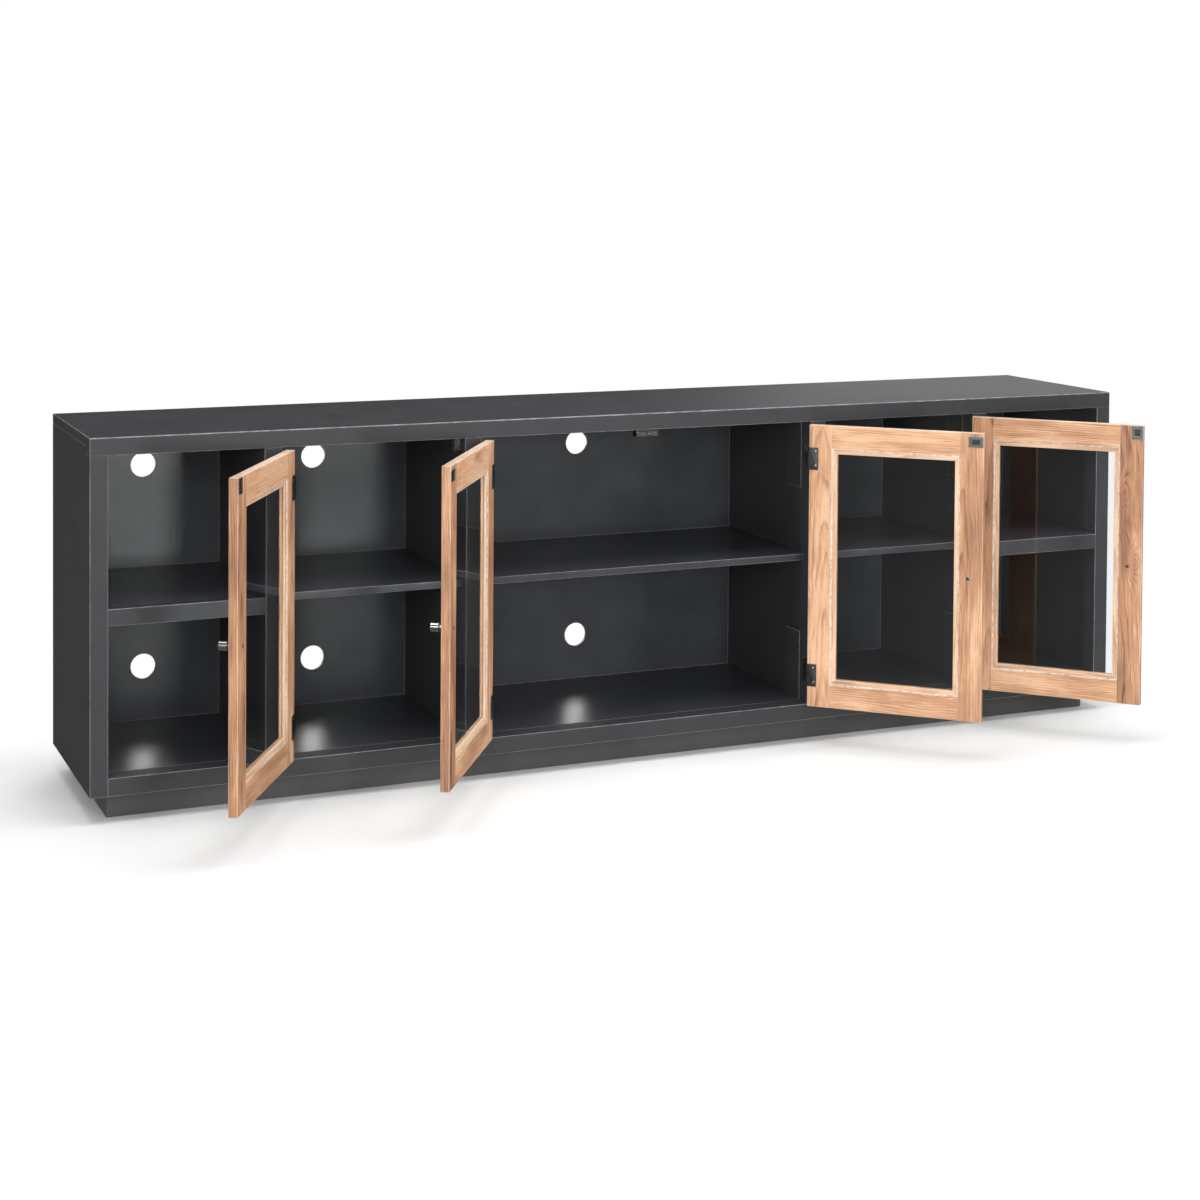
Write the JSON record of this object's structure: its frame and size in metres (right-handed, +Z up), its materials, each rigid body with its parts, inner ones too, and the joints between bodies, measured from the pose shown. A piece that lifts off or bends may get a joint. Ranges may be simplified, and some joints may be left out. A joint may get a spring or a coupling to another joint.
{
  "type": "media cabinet",
  "caption": "Long low media cabinet: black case with open end niches, shelves and cable holes, its inner bays closed by inset glazed walnut doors on butt hinges.",
  "frame": {"origin": "on the floor under the middle of the case, on the underside of the plinth's centre brace", "axes": "+Z up, -Y toward the front with the doors, +X to the right when facing the front"},
  "size_m": [2.41, 0.7808, 0.762],
  "materials": {
    "black_lacquer": "satin black lacquer",
    "walnut": "clear satin over natural walnut",
    "clear_glass": "clear float glass",
    "brushed_nickel": "satin nickel",
    "dark_steel": "blackened steel"
  },
  "bodies": {
    "case": {"top_panel": "black_lacquer", "bottom_panel": "black_lacquer", "bottom_rail": "black_lacquer", "side_left": "black_lacquer", "side_right": "black_lacquer", "divider_1": "black_lacquer", "divider_2": "black_lacquer", "divider_3": "black_lacquer", "divider_4": "black_lacquer", "back_panel": "black_lacquer", "shelf_1": "black_lacquer", "shelf_2": "black_lacquer", "shelf_3": "black_lacquer", "shelf_4": "black_lacquer", "shelf_5": "black_lacquer", "plinth": "black_lacquer", "catch_left": "dark_steel", "catch_right": "dark_steel", "catch_double": "dark_steel", "hinge_a_lower_fixed": "dark_steel", "hinge_a_upper_fixed": "dark_steel", "hinge_b_lower_fixed": "dark_steel", "hinge_b_upper_fixed": "dark_steel", "hinge_c_lower_fixed": "dark_steel", "hinge_c_upper_fixed": "dark_steel", "hinge_d_lower_fixed": "dark_steel", "hinge_d_upper_fixed": "dark_steel"},
    "door_a": {"door_a_stile_hinge": "walnut", "door_a_stile_free": "walnut", "door_a_rail_top": "walnut", "door_a_rail_bottom": "walnut", "door_a_glass": "clear_glass", "door_a_knob": "brushed_nickel", "hinge_a_lower_door": "dark_steel", "hinge_a_upper_door": "dark_steel"},
    "door_b": {"door_b_stile_hinge": "walnut", "door_b_stile_free": "walnut", "door_b_rail_top": "walnut", "door_b_rail_bottom": "walnut", "door_b_glass": "clear_glass", "door_b_knob": "brushed_nickel", "hinge_b_lower_door": "dark_steel", "hinge_b_upper_door": "dark_steel"},
    "door_c": {"door_c_stile_hinge": "walnut", "door_c_stile_free": "walnut", "door_c_rail_top": "walnut", "door_c_rail_bottom": "walnut", "door_c_glass": "clear_glass", "door_c_knob": "brushed_nickel", "hinge_c_lower_door": "dark_steel", "hinge_c_upper_door": "dark_steel"},
    "door_d": {"door_d_stile_hinge": "walnut", "door_d_stile_free": "walnut", "door_d_rail_top": "walnut", "door_d_rail_bottom": "walnut", "door_d_glass": "clear_glass", "door_d_knob": "brushed_nickel", "hinge_d_lower_door": "dark_steel", "hinge_d_upper_door": "dark_steel"}
  },
  "joints": [
    {"name": "door_a_hinge", "type": "hinge", "parent": "case", "child": "door_a", "pos_m": [-0.8195, -0.221, 0.405], "axis": [0, 0, -1], "range_deg": [-121, 29]},
    {"name": "door_b_hinge", "type": "hinge", "parent": "case", "child": "door_b", "pos_m": [-0.3915, -0.221, 0.405], "axis": [0, 0, -1], "range_deg": [-123, 27]},
    {"name": "door_c_hinge", "type": "hinge", "parent": "case", "child": "door_c", "pos_m": [0.3915, -0.221, 0.405], "axis": [0, 0, 1], "range_deg": [-136, 14]},
    {"name": "door_d_hinge", "type": "hinge", "parent": "case", "child": "door_d", "pos_m": [0.8195, -0.221, 0.405], "axis": [0, 0, 1], "range_deg": [-134, 16]}
  ],
  "couplings": [
    {"joint": "door_a_hinge", "follows": "door_b_hinge", "ratio": 0.98374},
    {"joint": "door_d_hinge", "follows": "door_c_hinge", "ratio": 0.98529}
  ]
}
